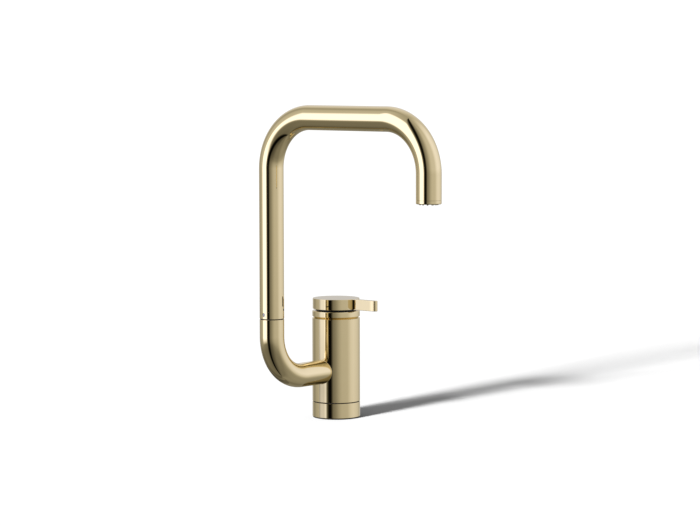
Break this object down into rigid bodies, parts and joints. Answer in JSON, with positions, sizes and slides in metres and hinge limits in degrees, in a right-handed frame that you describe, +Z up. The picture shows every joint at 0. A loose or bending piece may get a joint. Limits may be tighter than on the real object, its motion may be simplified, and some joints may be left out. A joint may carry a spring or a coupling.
{
  "type": "pull-down kitchen faucet",
  "caption": "Single-lever kitchen faucet with a cylindrical body, a side riser, a square-shouldered tube spout that swivels and a slim spray that pulls down from the outlet.",
  "frame": {"origin": "centre of the deck hole, on the deck's top face, on the body column's axis", "axes": "+Z up along the body column; -Y towards the user, where the spout and the lever point at rest; the riser stands on the -X side"},
  "size_m": [0.1401, 0.2437, 0.3331],
  "materials": {
    "polished_gold": "mirror-polished pale gold coating on brass",
    "raw_brass": "machined, uncoated",
    "stainless": "turned stainless steel",
    "black_plastic": "moulded acetal, satin",
    "white_plastic": "moulded acetal, satin",
    "rubber": "moulded silicone and EPDM",
    "ceramic": "lapped alumina",
    "hose_sheath": "smooth extruded sheath, satin"
  },
  "bodies": {
    "body": {"base_gasket": "rubber", "base_ring": "polished_gold", "base_seam_ring": "rubber", "mounting_sleeve": "raw_brass", "body_shell": "polished_gold", "spout_arm": "polished_gold", "valve_body": "raw_brass", "hot_inlet_nipple": "raw_brass", "cold_inlet_nipple": "raw_brass", "mixed_outlet_nipple": "raw_brass", "cartridge_seal": "rubber", "cartridge_body": "white_plastic", "fixed_ceramic_disc": "ceramic", "cartridge_nut": "raw_brass", "bonnet_ring": "polished_gold", "bonnet_bearing": "black_plastic", "swivel_post": "raw_brass", "swivel_bush_lower": "white_plastic", "swivel_bush_upper": "white_plastic", "swivel_o_ring_lower": "rubber", "swivel_o_ring_upper": "rubber", "swivel_washer": "black_plastic", "spray_hose_tail": "hose_sheath"},
    "handle": {"handle_cap": "polished_gold", "lever_blade": "polished_gold", "handle_hub": "raw_brass", "handle_set_screw": "stainless", "cartridge_stem": "raw_brass", "moving_ceramic_disc": "ceramic"},
    "spout": {"spout_tube": "polished_gold", "spout_set_screw": "stainless", "docking_bush": "black_plastic", "spray_hose": "hose_sheath"},
    "spray": {"spray_collar": "polished_gold", "wand_shell": "black_plastic", "nozzle_mat": "rubber", "spray_plate": "stainless", "flow_insert": "white_plastic", "hose_nut": "stainless", "hose_pull_length": "hose_sheath"}
  },
  "joints": [
    {"name": "handle_turn", "type": "hinge", "parent": "body", "child": "handle", "pos_m": [0, 0, 0.12], "axis": [0, 0, 1], "range_deg": [0, 100]},
    {"name": "spout_swivel", "type": "hinge", "parent": "body", "child": "spout", "pos_m": [-0.102, 0, 0.1127], "axis": [0, 0, 1], "range_deg": [-90, 90]},
    {"name": "spray_pull", "type": "slide", "parent": "spout", "child": "spray", "axis": [0, 0, -1], "range_m": [0, 0.2], "stiffness_N_per_m": 5, "springref_m": -0.6, "deforming": ["hose_pull_length"]}
  ]
}
